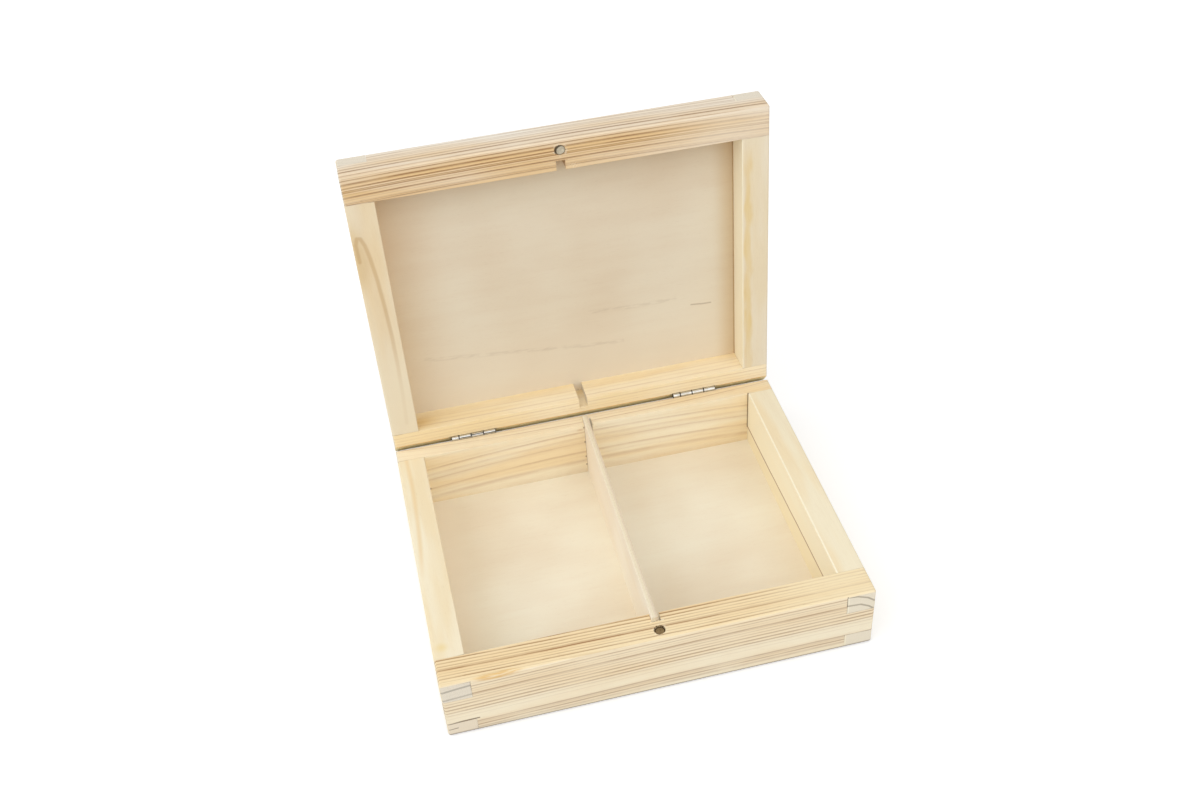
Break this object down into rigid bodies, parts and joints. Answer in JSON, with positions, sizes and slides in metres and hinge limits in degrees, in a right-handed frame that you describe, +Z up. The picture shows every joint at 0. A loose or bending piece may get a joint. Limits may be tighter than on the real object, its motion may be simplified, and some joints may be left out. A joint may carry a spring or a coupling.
{
  "type": "wooden storage box",
  "caption": "Shallow rectangular wooden box with a hinged lid, finger-jointed corners, a removable upright divider and a magnetic catch.",
  "frame": {"origin": "centre of the base's underside, in the plane that it stands on", "axes": "+Z up, +Y towards the hinges at the back, +X to the right seen from the front; the lid is stored open"},
  "size_m": [0.25, 0.2283, 0.2403],
  "materials": {
    "pine": "sanded, uncoated softwood",
    "plywood": "sanded, uncoated plywood",
    "nickel": "nickel-plated sheet steel",
    "magnet": "plated disc magnet"
  },
  "bodies": {
    "base": {"base_front_rail": "pine", "base_back_rail": "pine", "base_left_rail": "pine", "base_right_rail": "pine", "base_floor_panel": "plywood", "base_magnet": "magnet", "left_hinge_base_leaf": "nickel", "left_hinge_pin": "nickel", "right_hinge_base_leaf": "nickel", "right_hinge_pin": "nickel"},
    "lid": {"lid_front_rail": "pine", "lid_back_rail": "pine", "lid_left_rail": "pine", "lid_right_rail": "pine", "lid_panel": "plywood", "lid_magnet": "magnet", "left_hinge_lid_leaf": "nickel", "right_hinge_lid_leaf": "nickel"},
    "divider": {"divider": "plywood"}
  },
  "joints": [
    {"name": "lid_hinge", "type": "hinge", "parent": "base", "child": "lid", "pos_m": [0, 0.0945, 0.04415], "axis": [-1, 0, 0], "range_deg": [-93, 0]},
    {"name": "divider_lift", "type": "slide", "parent": "base", "child": "divider", "axis": [0, 0, 1], "range_m": [0, 0.015]}
  ]
}
